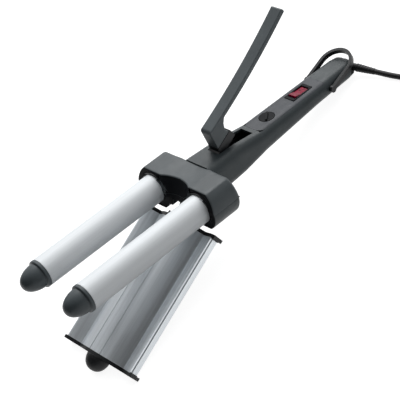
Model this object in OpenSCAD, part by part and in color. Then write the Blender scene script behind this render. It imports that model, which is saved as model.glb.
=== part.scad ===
// Two-barrel hair waver with a scissor-action wave plate.
//
// Tool frame: +X runs along the barrels to their tips, +Z is the lever side,
// the barrel axes lie in z = 0 and the head's front face is x = 0.
// The clamp is drawn closed, with its wave plate parallel to the barrels, then
// swung open about its pivot. stand() lays the finished tool on the table.

/* [Barrels] */
// Outer diameter of each heated barrel
barrel_d = 25; // [22:0.5:26]
// Distance between the two barrel axes
barrel_pitch = 57; // [52:0.5:64]
// Bare length of a barrel in front of the head
barrel_len = 122.5; // [90:0.5:150]
// Wall thickness of the barrel tubes
barrel_wall = 1.5; // [1:0.1:2]
// Length of a cool tip beyond its barrel
tip_len = 20.6; // [14:0.1:26]

/* [Head] */
// Length of the head block along the barrels
head_len = 30; // [26:0.5:40]
// Outer diameter of the round collar about each barrel
collar_d = 38.8; // [37:0.2:40]
// Height of the head's flattened top above the barrel axes
head_top = 16.5; // [16:0.1:18]
// Depth of the bridge between the collars below the barrel axes
bridge_drop = 9.7; // [8:0.1:12]
// Wall thickness of the head and handle shells
shell_wall = 2.2; // [1.8:0.1:2.6]

/* [Handle] */
// Length of the handle behind the head
handle_len = 183.5; // [178:0.5:200]
// Width of the handle where it leaves the head
neck_w = 38; // [38:0.5:42]
// Width of the handle at the control panel
grip_w = 31; // [29:0.5:34]
// Width of the handle at its tail
tail_w = 26; // [24:0.5:28]
// Height of the handle's top face along the control panel
grip_top = 10.8; // [10.2:0.1:11]

/* [Clamp] */
// Angle between the resting wave plate and the barrels
open_angle = 27.7; // [20:0.1:30]
// Place of the pivot pin behind the head's front face
pivot_back = 14.7; // [12:0.1:17]
// Depth of the pivot pin below the barrel axes
pivot_drop = 12; // [11:0.1:13]
// Diameter of the pivot pin
pivot_d = 4; // [3:0.1:5]
// Length of the finger lever along its outer face
lever_len = 120.5; // [90:0.5:125]
// Width of the finger lever
lever_w = 12.5; // [11:0.1:13]
// Height of the lever's side walls at its tip
lever_depth = 4.7; // [4:0.1:5.5]

/* [Wave plate] */
// Length of the wave plate
plate_len = 126.6; // [90:0.2:140]
// Width of the wave plate
plate_w = 82.5; // [78:0.5:92]
// Thickness of the aluminium plate
plate_t = 1.8; // [1.2:0.1:2]
// Height of the wave plate's crest above its rims
crest_h = 5.2; // [3:0.1:7]
// Depth of its two valleys below its rims
valley_h = 5.4; // [4:0.1:5.5]
// Height of the plate's side flanges
flange_h = 9.2; // [9.2:0.1:12]
// Thickness of the end bars
bar_t = 3; // [2:0.1:4]
// Distance from the barrel axes down to the closed plate's rims
closed_drop = 10.9; // [10.6:0.1:13]

/* [Controls] */
// Distance from the head's front face back to the dial
dial_back = 112; // [108:0.5:116]
// Diameter of the temperature dial
dial_d = 14; // [12:0.2:15]
// Distance from the head's front face back to the rocker switch
switch_back = 151.5; // [146:0.5:154]
// Length of the switch bezel
bezel_len = 23.5; // [20:0.5:25]
// Width of the switch bezel
bezel_w = 11.6; // [11:0.1:12]
// Tilt of the rocker to either side
rocker_tilt = 8; // [5:0.5:10]
// Width of the control panel
panel_w = 21; // [18:0.5:22]

/* [Tail] */
// Diameter of the cord's swivel ball
ball_d = 11; // [10:0.2:11.2]
// Length of the strain relief beyond the ball
relief_len = 26; // [20:0.5:30]
// Diameter of the mains cord
cord_d = 5; // [4.6:0.1:5.2]
// Length of the hanging loop from its pivots to its end
loop_len = 40; // [38:0.5:48]
// Thickness of the hanging loop's strip
loop_t = 3; // [2.4:0.1:3.4]

/* [Fits] */
// Gap round pieces that turn in one another
running_gap = 0.05; // [0.02:0.01:0.1]
// Gap beside pieces that sweep past one another
sweep_gap = 0.9; // [0.6:0.1:1.2]
// Gap between a fixed piece and its seat
seat_gap = 0.1; // [0:0.02:0.2]

/* [Hidden] */

charcoal = [0.24, 0.26, 0.27];
charcoal_top = [0.40, 0.42, 0.43];
black = [0.07, 0.08, 0.09];
satin_metal = [0.78, 0.79, 0.80];
plate_metal = [0.66, 0.67, 0.68];
panel_grey = [0.55, 0.55, 0.58];
steel = [0.6, 0.6, 0.62];

e = 0.01;
half_pitch = barrel_pitch / 2;
barrel_r = barrel_d / 2;
collar_r = collar_d / 2;
head_floor = collar_r - 2.4;
head_lean = 4;
saddle = 1.6;
scoop = 10;
scoop_low = 4.5;
scoop_r = 30;
scoop_rim = 1.6;
saddle_r = (pow(half_pitch - 9, 2) + pow(saddle, 2)) / (2 * saddle);

// Barrels: their roots, insulators, cool tips and heaters
wire_room = 6;
barrel_root = head_len - shell_wall - wire_room;
insulator_r = barrel_r + 1.7;
spigot_r = barrel_r - barrel_wall - seat_gap / 2;
spigot_len = 8;
flange_len = 2.6;
heater_x = -12;
heater_len = barrel_len - spigot_len - 4 - heater_x;
ceramic_w = 12;
ceramic_t = 4;
ceramic_inset = 5;
screw_r = 1.3;
screw_head_r = 2.4;
head_screw_len = 14;

// Clamp: the slot for its arm, and the pivot's place
arm_w = lever_w;
slot_w = arm_w + 2 * sweep_gap;
pivot_x = -pivot_back;
pivot_z = -pivot_drop;
boss_r = pivot_d / 2 + 4;
ear_r = pivot_d / 2 + 3.5;
ear_w = slot_w + 11;
pin_len = ear_w;

// Handle stations: [x, width, top, bottom, corner radius]
seam_z = 1;
tail_x = -head_len - handle_len;
neck = [-head_len, neck_w, head_top - 0.5, -14, 9];
slot_end = [-66, (neck_w + grip_w) / 2, grip_top + 4, -13, 9];
grip = [-95, grip_w, grip_top, -9.4, 8];
grip_back = [-160, (grip_w + 2 * tail_w) / 3 + 0.3, grip_top + 0.4, -5, 7.5];
tail = [tail_x + 12.5, tail_w, grip_top + 0.8, -3.8, 7];
tail_round = [tail_x + 4.5, tail_w - 2, grip_top + 0.2, -3.2, 6.8];
tail_face = [tail_x, tail_w - 11, grip_top - 2, -0.8, 4.5];

// Lever: an arc that starts at the elbow above the handle, in the closed clamp
elbow_x = -66.2;
elbow_z = grip_top + 6;
lever_start = -3;
lever_end = 7.5;
lever_r = lever_len / ((lever_end - lever_start) * PI / 180);
lever_wall = 1.5;
lever_roof = 2;
lever_thin = 3.7;
foot_z = -1;
arm_floor = -8.9;
arm_rear = -80;
foot_front_x = -60.1;
foot_rear_x = -77.5;
foot_screw_len = 13;
slot_front_x = -45.6;
slot_rear_x = -88;

// Torsion spring about the pivot pin
spring_wire_r = 0.6;
spring_r = pivot_d / 2 + spring_wire_r + 0.2;
spring_w = 5.4;

// Wave plate, in its own frame: x forward from its rear edge, z up from its rims
yoke_t = 2.5;
yoke_x = 0.8;
yoke_w = 30;
yoke_top = -10;
yoke_low = -21;
plate_x = yoke_x + yoke_t + bar_t;
valley_y = half_pitch - 0.5;
arch_rise = crest_h + valley_h;
arch_r = (pow(valley_y, 2) + pow(arch_rise, 2)) / (2 * arch_rise);
rim_w = 1.4;
groove_y = 6.6;
groove_d = 0.5;
foot_drop = flange_h + 1.8;
foot_w = 6;
tip_r = 10.3;
tip_z = -3.4;
tip_reach = 11.5;
prong_t = 1;
bar_over = 2.9;
prong_len = 4;
cover_t = 1.6;
lug_y = 10;
lug_w = 7;
lug_len = 6;
lug_h = 6;
plate_heater_w = 30;
plate_heater_h = 6;
plate_heater_top = crest_h - plate_t - arch_r + sqrt(pow(arch_r, 2) - pow(plate_heater_w / 2, 2)) - 0.05;
plate_ceramic_t = 3;
plate_ceramic_z = plate_heater_top - (plate_heater_h + plate_ceramic_t) / 2;
plate_heater_x = 10;
plate_heater_len = plate_len - 2 * plate_heater_x;

// Controls
panel_t = 1.2;
panel_front = -93;
panel_rear = -173;
panel_z = grip_top - panel_t;
dial_x = -dial_back;
dial_top = grip_top + 0.3;
dial_floor = dial_top - 3.2;
switch_x = -switch_back;
bezel_top = grip_top + 0.9;
bezel_floor = grip_top + 0.47;
switch_len = bezel_len - 4;
switch_w = bezel_w - 0.8;
switch_floor = -1.5;
rocker_w = bezel_w - 3;
rocker_len = bezel_len - 6.5;
rocker_z = grip_top - 2.4;
rocker_rise = 2.6;
window_gap = 0.4;
window_len = rocker_len + 2 * window_gap;
window_w = rocker_w + 2 * window_gap;
switch_cup = rocker_z - 5;
trunnion_r = 1;
board_front = -98;
board_rear = -140;
board_top = -2;
board_w = 17;

// Wires and the screw posts of the handle
wire_r = 1;
wire_y = neck_w / 2 - 3.9;
wire_z = 3.5;
wire_turn_x = -head_len + shell_wall + wire_room / 2;
post_r = 3.1;
post_y = slot_w / 2 + 3.35;
rear_post_x = (switch_x - switch_len / 2 + tail[0]) / 2;
handle_screw_len = 8;
handle_screw_seat = 2.4;

// Cord swivel
ball_r = ball_d / 2;
ball_x = tail_x + 4.5;
ball_z = 5;
mouth_h = ball_d - 1.4;
mouth_len = 9.3;
relief_root_r = 3.6;
relief_end_r = cord_d / 2 + 0.3;

// Hanging loop
loop_gap = 0.5;
loop_pin_x = tail_x + 36.5;
loop_pin_z = 3.5;
loop_pin_r = 2;
loop_pin_len = 3.8;
loop_side = grip_back[1] / 2
    + (tail[1] - grip_back[1]) / 2 * (grip_back[0] - loop_pin_x) / (grip_back[0] - tail[0]);
loop_in = loop_side + loop_gap;
loop_w = 4.2;
loop_angle = 20;

// Standing tilt: the plate's two front feet and the tail's underside touch the table
function opened(p) = [
    pivot_x + (p[0] - pivot_x) * cos(open_angle) + (p[1] - pivot_z) * sin(open_angle),
    pivot_z - (p[0] - pivot_x) * sin(open_angle) + (p[1] - pivot_z) * cos(open_angle)
];
front_foot = opened([plate_x + plate_len + bar_t, -closed_drop - foot_drop]);
tail_foot = [tail_round[0], tail_round[3]];
stand_angle = atan2(tail_foot[1] - front_foot[1], front_foot[0] - tail_foot[0]);
function stood_x(p) = p[0] * cos(stand_angle) - p[1] * sin(stand_angle);
function stood_z(p) = p[0] * sin(stand_angle) + p[1] * cos(stand_angle);
lift = -stood_z(tail_foot);
// The table frame's origin is below the middle of the resting tool
nose = opened([plate_x + plate_len + bar_t + tip_reach, -closed_drop + tip_z]);
loop_tip = [
    loop_pin_x - loop_len * cos(loop_angle) - loop_w / 2 * sin(loop_angle),
    loop_pin_z + loop_len * sin(loop_angle) - loop_w / 2 * cos(loop_angle)
];
shift = -(stood_x(nose) + stood_x(loop_tip)) / 2;

// Where the cord leaves the strain relief, in the table frame
ball_stood = [stood_x([ball_x, ball_z]) + shift, 0, stood_z([ball_x, ball_z]) + lift];
relief_dir = [-0.15, 0.983, -0.104];
relief_tip = ball_stood + (ball_r + relief_len) * relief_dir / norm(relief_dir);

// Cord: two flat layers of four turns, 12 cord diameters across at mid-turn
floor_gap = 0.1;
lie_z = cord_d / 2 + floor_gap;
coil_inner_r = 3.5 * cord_d;
coil_outer_r = 8.5 * cord_d;
coil_h = 2 * cord_d;
coil_x = relief_tip[0] - 5 - 8 * cord_d;
coil_y = 94;
plug_x = coil_x - 15.3;
plug_y = coil_y + 15;
plug_w = 35;
plug_r = 6.9;
plug_z = floor_gap + coil_h + 0.05 + plug_r;
pin_pitch = 18.6;

/* --- helpers --- */

module stand() {
    translate([shift, 0, lift]) rotate([0, -stand_angle, 0]) children();
}

module open_clamp() {
    translate([pivot_x, 0, pivot_z]) rotate([0, open_angle, 0]) translate([-pivot_x, 0, -pivot_z]) children();
}

module stood_clamp() {
    stand() open_clamp() children();
}

// Children drawn in the wave plate's own frame
module on_plate() {
    stood_clamp() translate([plate_x, 0, -closed_drop]) children();
}

// A side view (x, z) given thickness w about y = 0
module side(w) {
    rotate([90, 0, 0]) linear_extrude(w, center = true) children();
}

// A front view (y, z) drawn out along +X from x0
module front(x0, l) {
    translate([x0, 0, 0]) rotate([90, 0, 90]) linear_extrude(l) children();
}

// A round bar along X
module rod_x(x0, l, r) {
    translate([x0, 0, 0]) rotate([0, 90, 0]) cylinder(h = l, r = r, $fn = 96);
}

// A round bar along Y, centred
module rod_y(l, r) {
    rotate([90, 0, 0]) cylinder(h = l, r = r, center = true, $fn = 64);
}

module both_sides() {
    children();
    mirror([0, 1, 0]) children();
}

// A tube of radius r that follows points, with its rings kept square to the path
function unit(v) = v / norm(v);
function path_dir(p, i) = unit(p[min(i + 1, len(p) - 1)] - p[max(i - 1, 0)]);
module swept_tube(p, r, sides, up = [0, 0, 1]) {
    rings = [for (i = [0 : len(p) - 1])
        let (d = path_dir(p, i), s = unit(cross(d, up)), u = cross(s, d))
        for (k = [0 : sides - 1])
            p[i] + r * (cos(360 * k / sides) * s + sin(360 * k / sides) * u)];
    last = (len(p) - 1) * sides;
    walls = [for (i = [0 : len(p) - 2], k = [0 : sides - 1])
        let (a = i * sides, b = (k + 1) % sides) [a + k, a + b, a + sides + b, a + sides + k]];
    start_cap = [[for (k = [sides - 1 : -1 : 0]) k]];
    end_cap = [[for (k = [0 : sides - 1]) last + k]];
    polyhedron(points = rings, faces = concat(walls, start_cap, end_cap), convexity = 6);
}

// A pan-head screw: the head's underside at the origin, the shank along -Z
module screw(l) {
    cylinder(h = 1.4, r = screw_head_r, $fn = 32);
    translate([0, 0, -l]) cylinder(h = l, r = screw_r - 0.02, $fn = 32);
}

/* --- head --- */

// Outline of the head seen from the barrel tips: two collars and the bridge
module head_outline() {
    intersection() {
        union() {
            for (s = [-1, 1])
                translate([s * half_pitch, 0]) circle(r = collar_r, $fn = 128);
            translate([-half_pitch, -bridge_drop]) square([barrel_pitch, bridge_drop + head_top]);
        }
        difference() {
            translate([-barrel_pitch, -head_floor]) square([2 * barrel_pitch, head_floor + head_top]);
            translate([0, head_top - saddle + saddle_r]) circle(r = saddle_r, $fn = 360);
        }
    }
}

// The head leans back: its top front edge is set behind its lower one
module head_side() {
    polygon([
        [0, -head_floor - 1], [0, 3], [-head_lean, head_top + 1],
        [-head_len, head_top + 1], [-head_len, -head_floor - 1]
    ]);
}

// The bridge's front is a hollow curve that leans back between the barrels' rims
module head_scoop() {
    lean = atan((scoop - scoop_low) / head_top);
    difference() {
        translate([-scoop_low, 0, 0]) rotate([0, -lean, 0]) translate([scoop_r, 0, -3 * collar_r])
            cylinder(h = 6 * collar_r, r = scoop_r, $fn = 256);
        for (s = [-1, 1]) translate([0, s * half_pitch, 0])
            rod_x(-head_len, head_len + 1, barrel_r + seat_gap + scoop_rim);
    }
}

module head_solid() {
    difference() {
        intersection() {
            front(-head_len, head_len) head_outline();
            side(3 * barrel_pitch) head_side();
        }
        head_scoop();
    }
    // ears that hold the pivot pin
    side(ear_w) {
        translate([pivot_x, pivot_z]) circle(r = ear_r, $fn = 64);
        translate([pivot_x - ear_r, pivot_z]) square([2 * ear_r, pivot_drop]);
    }
}

// Everything that the head's shells leave room for
module head_hollow() {
    for (s = [-1, 1]) translate([0, s * half_pitch, 0]) {
        rod_x(-shell_wall - 1, shell_wall + 2, barrel_r + seat_gap);
        rod_x(-head_len + shell_wall, head_len - 2 * shell_wall, insulator_r + seat_gap);
    }
    // slot for the swinging arm, open below and behind
    translate([-head_len - 1, -slot_w / 2, -2 * collar_r])
        cube([head_len + 2, slot_w, 2 * collar_r + pivot_z + boss_r + sweep_gap]);
    translate([-head_len - 1, -slot_w / 2, -2 * collar_r])
        cube([head_len + 1 - scoop - shell_wall, slot_w, 2 * collar_r + head_top - shell_wall]);
    translate([pivot_x, 0, pivot_z]) rod_y(2 * ear_w, pivot_d / 2 + running_gap / 2);
    // wire chambers behind the barrels, and the wire holes into the handle
    for (s = [-1, 1]) {
        translate([-head_len + shell_wall, s * (wire_y + 3) - 5, 0])
            cube([wire_room, 10, wire_z + 2.5]);
        translate([0, s * wire_y, wire_z]) rod_x(-head_len - 1, wire_room, wire_r + 0.3);
    }
}

module head_upper() {
    color(charcoal_top) stand() difference() {
        intersection() {
            head_solid();
            translate([-head_len - 1, -barrel_pitch, 0]) cube([head_len + 2, 2 * barrel_pitch, 2 * collar_r]);
        }
        head_hollow();
        at_head_screws() cylinder(h = head_screw_len + 0.4, r = screw_r, $fn = 32);
    }
}

module head_lower() {
    color(charcoal) stand() difference() {
        intersection() {
            head_solid();
            translate([-head_len - 1, -barrel_pitch, -2 * collar_r])
                cube([head_len + 2, 2 * barrel_pitch, 2 * collar_r]);
        }
        head_hollow();
        at_head_screws() {
            cylinder(h = head_screw_len, r = screw_r + 0.1, $fn = 32);
            mirror([0, 0, 1]) cylinder(h = 9, r = screw_head_r + 0.2, $fn = 32);
        }
    }
}

// The screws that draw the head's halves together, heads down
module at_head_screws() {
    for (s = [-1, 1])
        translate([5 - head_len, s * (slot_w / 2 + 3), -bridge_drop + 1.8]) children();
}

module head_screws() {
    color(steel) stand() at_head_screws() mirror([0, 0, 1]) screw(head_screw_len);
}

/* --- barrels --- */

module barrel(s) {
    color(satin_metal) stand() translate([0, s * half_pitch, 0]) difference() {
        rod_x(-barrel_root, barrel_root + barrel_len, barrel_r);
        rod_x(-barrel_root - 1, barrel_root + barrel_len + 2, barrel_r - barrel_wall);
    }
}
module left_barrel() { barrel(1); }
module right_barrel() { barrel(-1); }

// Heat-resistant ring between a barrel and the head
module insulator(s) {
    color([0.2, 0.2, 0.2]) stand() translate([0, s * half_pitch, 0]) difference() {
        rod_x(-barrel_root, barrel_root - shell_wall, insulator_r);
        rod_x(-barrel_root - 1, barrel_root + 2, barrel_r + seat_gap / 2);
    }
}
module left_insulator() { insulator(1); }
module right_insulator() { insulator(-1); }

// Outline of a cool tip: a flange the width of the barrel, a step and a blunt dome
function dome(r, l, x0) = [for (a = [0 : 7.5 : 90]) [r * pow(cos(a), 0.88), x0 + l * pow(sin(a), 1.05)]];
module cool_tip() {
    rotate([0, 90, 0]) rotate_extrude($fn = 96) polygon(concat(
        [[0, -spigot_len], [spigot_r, -spigot_len], [spigot_r, 0], [barrel_r, 0], [barrel_r, flange_len],
            [barrel_r - 0.8, flange_len + 0.8]],
        dome(barrel_r - 1.6, tip_len - flange_len - 0.8, flange_len + 0.8)
    ));
}
module barrel_tip(s) {
    color(black) stand() translate([barrel_len, s * half_pitch, 0]) cool_tip();
}
module left_tip() { barrel_tip(1); }
module right_tip() { barrel_tip(-1); }

// Heat spreader inside a barrel: a flat-sided core with a slot for its ceramic heater
module heater(s) {
    color([0.7, 0.7, 0.7]) stand() translate([0, s * half_pitch, 0]) difference() {
        intersection() {
            rod_x(heater_x, heater_len, spigot_r);
            translate([heater_x, -barrel_r, -4.5]) cube([heater_len, 2 * barrel_r, 9]);
        }
        translate([heater_x - 1, -ceramic_w / 2 - seat_gap, -ceramic_t / 2 - seat_gap])
            cube([heater_len + 2, ceramic_w + 2 * seat_gap, ceramic_t + 2 * seat_gap]);
    }
}
module left_heater() { heater(1); }
module right_heater() { heater(-1); }

module ceramic(s) {
    color([0.92, 0.9, 0.85]) stand()
        translate([heater_x + ceramic_inset, s * half_pitch - ceramic_w / 2, -ceramic_t / 2])
            cube([heater_len - 2 * ceramic_inset, ceramic_w, ceramic_t]);
}
module left_ceramic() { ceramic(1); }
module right_ceramic() { ceramic(-1); }

/* --- handle --- */

module slab(s, inset) {
    r = s[4] - inset;
    for (y = [-1, 1], z = [s[2] - s[4], s[3] + s[4]])
        translate([s[0], y * (s[1] / 2 - s[4]), z])
            rotate([0, 90, 0]) cylinder(h = e, r = r, $fn = 32);
}

module handle_solid() {
    hull() { slab(neck, 0); slab(slot_end, 0); slab(grip, 0); }
    hull() { slab(grip, 0); slab(grip_back, 0); }
    hull() { slab(grip_back, 0); slab(tail, 0); slab(tail_round, 0); slab(tail_face, 0); }
}

module handle_room() {
    hull() {
        translate([2, 0, 0]) slab(neck, shell_wall);
        slab(slot_end, shell_wall);
        slab(grip, shell_wall);
    }
    hull() { slab(grip, shell_wall); slab(grip_back, shell_wall); }
    hull() { slab(grip_back, shell_wall); slab(tail, shell_wall); }
}

// Ball socket and cord mouth at the tail
module tail_hollow() {
    translate([ball_x, 0, ball_z]) sphere(r = ball_r + running_gap, $fn = 64);
    translate([tail_x - 1, -tail_w, ball_z - mouth_h / 2]) cube([mouth_len + 1, 2 * tail_w, mouth_h]);
    translate([0, 0, ball_z]) rod_x(ball_x, tail[0] - ball_x + 2, 3);
}

module at_handle_screws() {
    for (p = [[-40, post_y], [-40, -post_y], [-91.5, 0], [rear_post_x, 0]])
        translate([p[0], p[1], seam_z]) children();
}

module handle_upper() {
    color(charcoal) stand() difference() {
        intersection() {
            handle_solid();
            union() {
                difference() {
                    translate([tail_x - 1, -neck_w, seam_z]) cube([handle_len + 1, 2 * neck_w, neck_w]);
                    handle_room();
                }
                at_handle_screws() cylinder(h = neck_w, r = post_r, $fn = 32);
                // ledge under the control panel
                translate([panel_rear - 2, -panel_w / 2 - 2, panel_z - 2])
                    cube([panel_front - panel_rear + 2, panel_w + 4, 3]);
            }
        }
        at_handle_screws() translate([0, 0, -1]) cylinder(h = handle_screw_len - handle_screw_seat + 1.8, r = screw_r, $fn = 32);
        // slot for the lever's foot
        side(slot_w) polygon([
            [slot_rear_x, 0], [slot_front_x, 0], [slot_front_x, slot_end[2] - shell_wall + 0.4],
            [slot_front_x - 4.4, slot_end[2] + 1.2], [slot_front_x - 4.4, 2 * collar_r],
            [slot_rear_x, 2 * collar_r]
        ]);
        // seat and openings under the control panel
        translate([panel_rear - seat_gap, -panel_w / 2 - seat_gap, panel_z])
            cube([panel_front - panel_rear + 2 * seat_gap, panel_w + 2 * seat_gap, collar_r]);
        translate([dial_x, 0, 0]) cylinder(h = collar_r, r = dial_d / 2 + 0.3, $fn = 64);
        switch_hole();
        translate([loop_pin_x, 0, loop_pin_z]) rod_y(2 * tail_w, loop_pin_r + running_gap);
        tail_hollow();
    }
}

module handle_lower() {
    color(charcoal) stand() difference() {
        intersection() {
            handle_solid();
            union() {
                difference() {
                    translate([tail_x - 1, -neck_w, seam_z - neck_w])
                        cube([handle_len + 1, 2 * neck_w, neck_w]);
                    handle_room();
                }
                at_handle_screws() mirror([0, 0, 1]) cylinder(h = neck_w, r = post_r, $fn = 32);
                at_board_posts() mirror([0, 0, 1]) cylinder(h = neck_w, r = 1.5, $fn = 24);
            }
        }
        at_handle_screws() {
            cylinder(h = neck_w, r = screw_r + 0.1, center = true, $fn = 32);
            translate([0, 0, -neck_w - handle_screw_seat])
                cylinder(h = neck_w, r = screw_head_r + 0.1, $fn = 32);
        }
        tail_hollow();
    }
}

module handle_screws() {
    color(steel) stand() at_handle_screws()
        translate([0, 0, -handle_screw_seat]) mirror([0, 0, 1]) screw(handle_screw_len);
}

/* --- control panel and its parts --- */

module switch_hole() {
    translate([switch_x - switch_len / 2 - seat_gap, -switch_w / 2 - seat_gap, 0])
        cube([switch_len + 2 * seat_gap, switch_w + 2 * seat_gap, 2 * collar_r]);
}

// Crowned inlay that follows the handle's top
module control_panel() {
    color(panel_grey) stand() difference() {
        intersection() {
            handle_solid();
            translate([panel_rear, 0, panel_z]) panel_outline();
        }
        translate([dial_x, 0, 0]) cylinder(h = 2 * collar_r, r = dial_d / 2 + 0.3, $fn = 64);
        switch_hole();
    }
}
module panel_outline() {
    len = panel_front - panel_rear;
    r = panel_w / 2;
    translate([0, -r, 0]) cube([len - 6, panel_w, 4]);
    translate([len - 6, 6 - r, 0]) cube([6, panel_w - 12, 4]);
    for (s = [-1, 1])
        translate([len - 6, s * (r - 6), 0]) cylinder(h = 4, r = 6, $fn = 48);
}

// Switch body with its bezel; the rocker tilts on two bores in its side walls
module switch_housing() {
    color(black) stand() difference() {
        union() {
            translate([switch_x - switch_len / 2, -switch_w / 2, switch_floor])
                cube([switch_len, switch_w, bezel_top - switch_floor]);
            translate([switch_x - bezel_len / 2, -bezel_w / 2, bezel_floor])
                cube([bezel_len, bezel_w, bezel_top - bezel_floor]);
        }
        translate([switch_x - window_len / 2, -window_w / 2, switch_cup])
            cube([window_len, window_w, collar_r]);
        translate([switch_x, 0, rocker_z]) rod_y(rocker_w + 1.9, trunnion_r + running_gap);
    }
}

// Rocker pressed at its rear end; it tilts the other way about its trunnions
module power_rocker() {
    color([0.75, 0.08, 0.1]) stand() translate([switch_x, 0, rocker_z]) rotate([0, -rocker_tilt, 0]) {
        side(rocker_w) polygon([
            [-rocker_len / 2, 1.6], [-rocker_len / 2 + 0.6, rocker_rise + 0.8], [-1, rocker_rise],
            [1, rocker_rise], [rocker_len / 2 - 0.6, rocker_rise + 0.8], [rocker_len / 2, 1.6],
            [3, -1.2], [-3, -1.2]
        ]);
        rod_y(rocker_w + 1.6, trunnion_r);
    }
}

// Neon lamp that lights the rocker from below
module indicator_lamp() {
    color([1, 0.5, 0.3]) stand() translate([0, 0, switch_cup + 1.5])
        rod_x(switch_x - 4, 8, 1.5);
}

module temperature_dial() {
    color(black) stand() translate([dial_x, 0, 0]) {
        difference() {
            translate([0, 0, dial_floor]) cylinder(h = dial_top - dial_floor, r = dial_d / 2, $fn = 96);
            for (k = [0 : 23]) rotate([0, 0, k * 15])
                translate([dial_d / 2 + 0.3, 0, dial_floor - 1]) cylinder(h = 6, r = 0.6, $fn = 16);
        }
        rotate([0, 0, 40]) translate([-dial_d / 2 + 1.2, -0.9, dial_top - e])
            cube([dial_d - 2.4, 1.8, 0.5 + e]);
        translate([0, 0, board_top + 1]) cylinder(h = dial_floor - board_top, r = 2.5, $fn = 48);
    }
}

module potentiometer() {
    color([0.3, 0.45, 0.35]) stand() translate([dial_x, 0, 0]) difference() {
        union() {
            translate([0, 0, board_top]) cylinder(h = 6, r = 6.5, $fn = 64);
            translate([0, 0, board_top]) cylinder(h = dial_floor - board_top - 0.4, r = 3.6, $fn = 48);
        }
        translate([0, 0, board_top + 0.6]) cylinder(h = 20, r = 2.5 + running_gap, $fn = 48);
    }
}

module at_board_posts() {
    for (x = [board_front - 4, board_rear + 4], y = [-6, 6])
        translate([x, y, board_top - 1.6]) children();
}

module circuit_board() {
    color([0.1, 0.35, 0.15]) stand() {
        translate([board_rear, -board_w / 2, board_top - 1.6]) cube([board_front - board_rear, board_w, 1.6]);
        translate([dial_x - 20, 1, board_top]) cube([6, 6, 3.2]);
        translate([board_front - 6, -2, board_top]) cube([4, 4, 1.6]);
    }
}

module thermal_fuse() {
    color([0.85, 0.75, 0.6]) stand() translate([0, -5.5, board_top + 1.7]) rod_x(dial_x - 19, 9, 1.7);
}

// Leads from the board to both barrels, along the inside of the neck
module heater_wires() {
    color([0.8, 0.1, 0.1]) stand() for (s = [-1, 1]) swept_tube([
        [board_front - 2, s * 6.5, board_top + wire_r], [board_front + 5, s * 10.6, wire_z - 1],
        [-66, s * (wire_y - 1.8), wire_z], [-head_len - 3, s * wire_y, wire_z],
        [wire_turn_x, s * wire_y, wire_z], [wire_turn_x, s * half_pitch, wire_z],
        [heater_x - 4, s * half_pitch, 0], [heater_x + 5, s * half_pitch, 0]
    ], wire_r, 10);
}

// Cord conductors to the switch, and from the switch to the board
module mains_wires() {
    color([0.1, 0.2, 0.7]) stand() for (s = [-1, 1]) {
        swept_tube([
            [ball_x + ball_r + 0.3, s * 1.3, ball_z], [tail[0] + 4, s * 1.3, ball_z],
            [tail[0] + 10, s * 4.6, 3], [switch_x - switch_len / 2 - 0.3, s * 4.2, 3]
        ], wire_r, 10);
        swept_tube([
            [switch_x + switch_len / 2 + 0.3, s * 3.5, 1], [board_rear + 2, s * 3.5, 0.4],
            [board_rear + 6, s * 3.5, board_top + wire_r]
        ], wire_r, 10);
    }
}

/* --- clamp --- */

module pivot_pin() {
    color(steel) stand() translate([pivot_x, 0, pivot_z]) rod_y(pin_len, pivot_d / 2);
}

// Torsion spring round the pin: one leg on the head, the other in the arm
module clamp_spring() {
    steps = 44;
    sweep = 4 * 360 - 90 - open_angle;
    coil = [for (i = [0 : steps])
        let (a = 90 - open_angle - sweep * i / steps)
        [pivot_x + spring_r * cos(a), -spring_w / 2 + spring_w * i / steps, pivot_z + spring_r * sin(a)]];
    leg_end = opened([pivot_x - 11, pivot_z + spring_r]);
    leg_mid = opened([pivot_x - 5, pivot_z + spring_r]);
    arm_leg = [[leg_end[0], -spring_w / 2, leg_end[1]], [leg_mid[0], -spring_w / 2, leg_mid[1]]];
    head_leg = [[pivot_x - spring_r, spring_w / 2, pivot_z + 4], [pivot_x - spring_r, spring_w / 2, 2],
        [pivot_x - spring_r, spring_w / 2, head_top - shell_wall - 0.6]];
    color(steel) stand() swept_tube(concat(arm_leg, coil, head_leg), spring_wire_r, 8, [0, 1, 0]);
}

// Outer face of the closed lever, s along it from the elbow, d below it
function lever_a(s) = lever_start + (lever_end - lever_start) * s / lever_len;
function lever_at(s, d) = [
    elbow_x - lever_r * (sin(lever_a(s)) - sin(lever_start)) - d * sin(lever_a(s)),
    elbow_z - lever_r * (cos(lever_a(s)) - cos(lever_start)) - d * cos(lever_a(s))
];
function lever_t(s) = lever_thin + (lever_depth - lever_thin) * s / lever_len;

module lever_strip(s0, s1, d0, below) {
    steps = 16;
    top = [for (i = [0 : steps]) lever_at(s0 + (s1 - s0) * i / steps, d0)];
    low = [for (i = [steps : -1 : 0])
        let (s = s0 + (s1 - s0) * i / steps) lever_at(s, lever_t(s) + below)];
    polygon(concat(top, low));
}

module finger_lever() {
    color(charcoal_top) stood_clamp() difference() {
        side(lever_w) {
            lever_strip(0, lever_len, 0, 0);
            // foot: a deep web that drops through the handle's slot
            polygon([
                lever_at(0, 0), lever_at(19, 0.2), lever_at(19, lever_thin), [foot_rear_x - 3.2, 9],
                [foot_rear_x, 4], [foot_rear_x - 1.4, foot_z], [foot_front_x - 0.8, foot_z]
            ]);
        }
        side(lever_w - 2 * lever_wall) lever_strip(22, lever_len - lever_roof, lever_roof, 2);
        at_foot_screws() mirror([0, 0, 1]) cylinder(h = foot_screw_len + 0.4, r = screw_r, $fn = 32);
    }
}

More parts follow.
